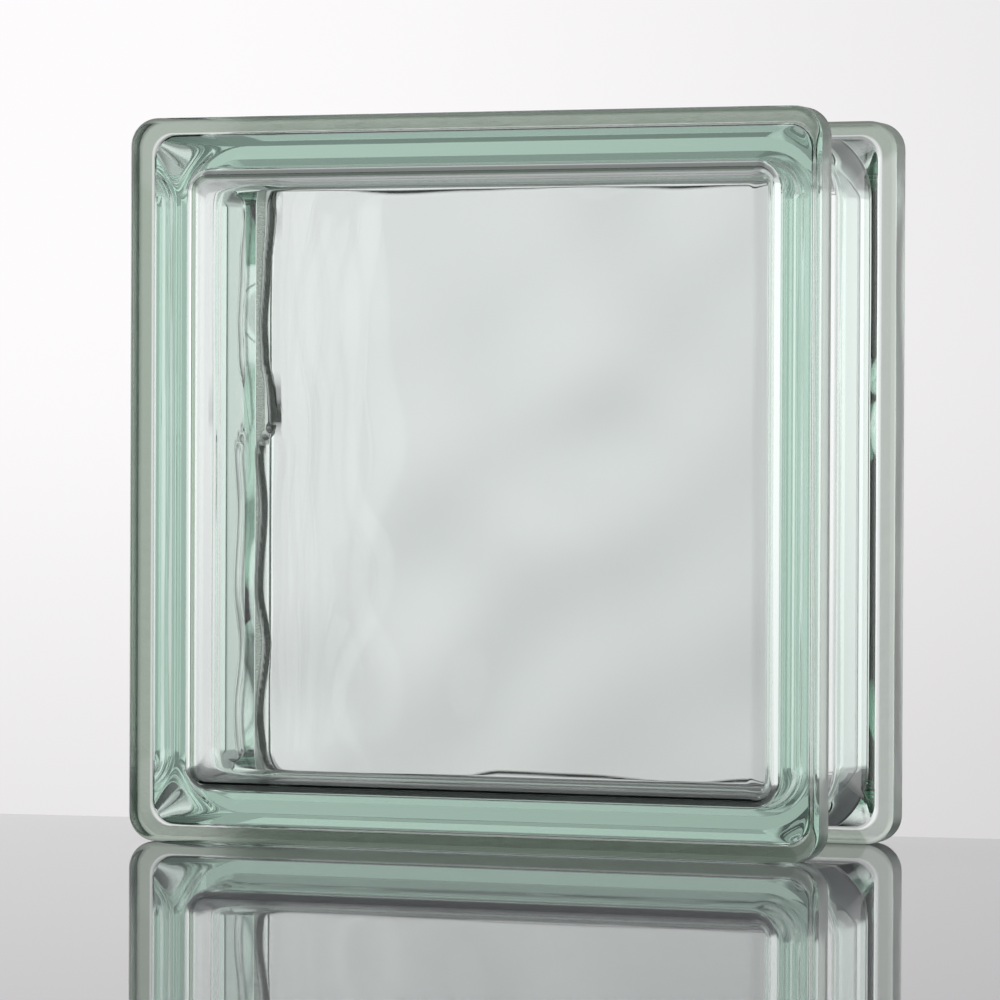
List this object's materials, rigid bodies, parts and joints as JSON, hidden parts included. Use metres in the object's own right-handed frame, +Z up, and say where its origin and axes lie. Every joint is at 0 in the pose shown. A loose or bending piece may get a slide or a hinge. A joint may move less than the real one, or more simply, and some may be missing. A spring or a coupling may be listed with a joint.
{
  "type": "glass block",
  "caption": "Hollow square glass building block with smooth outer faces, a soft wavy relief inside, raised lips round both faces and a recessed edge that keys into mortar.",
  "frame": {"origin": "centre of the block's footprint on the surface that it stands on", "axes": "+Z up, X along the width of the face, Y along the depth, with the front face at -Y"},
  "size_m": [0.197, 0.079, 0.197],
  "materials": {
    "glass": "smooth, pale green where thick"
  },
  "bodies": {
    "root": {"glass_block": "glass"}
  },
  "joints": []
}
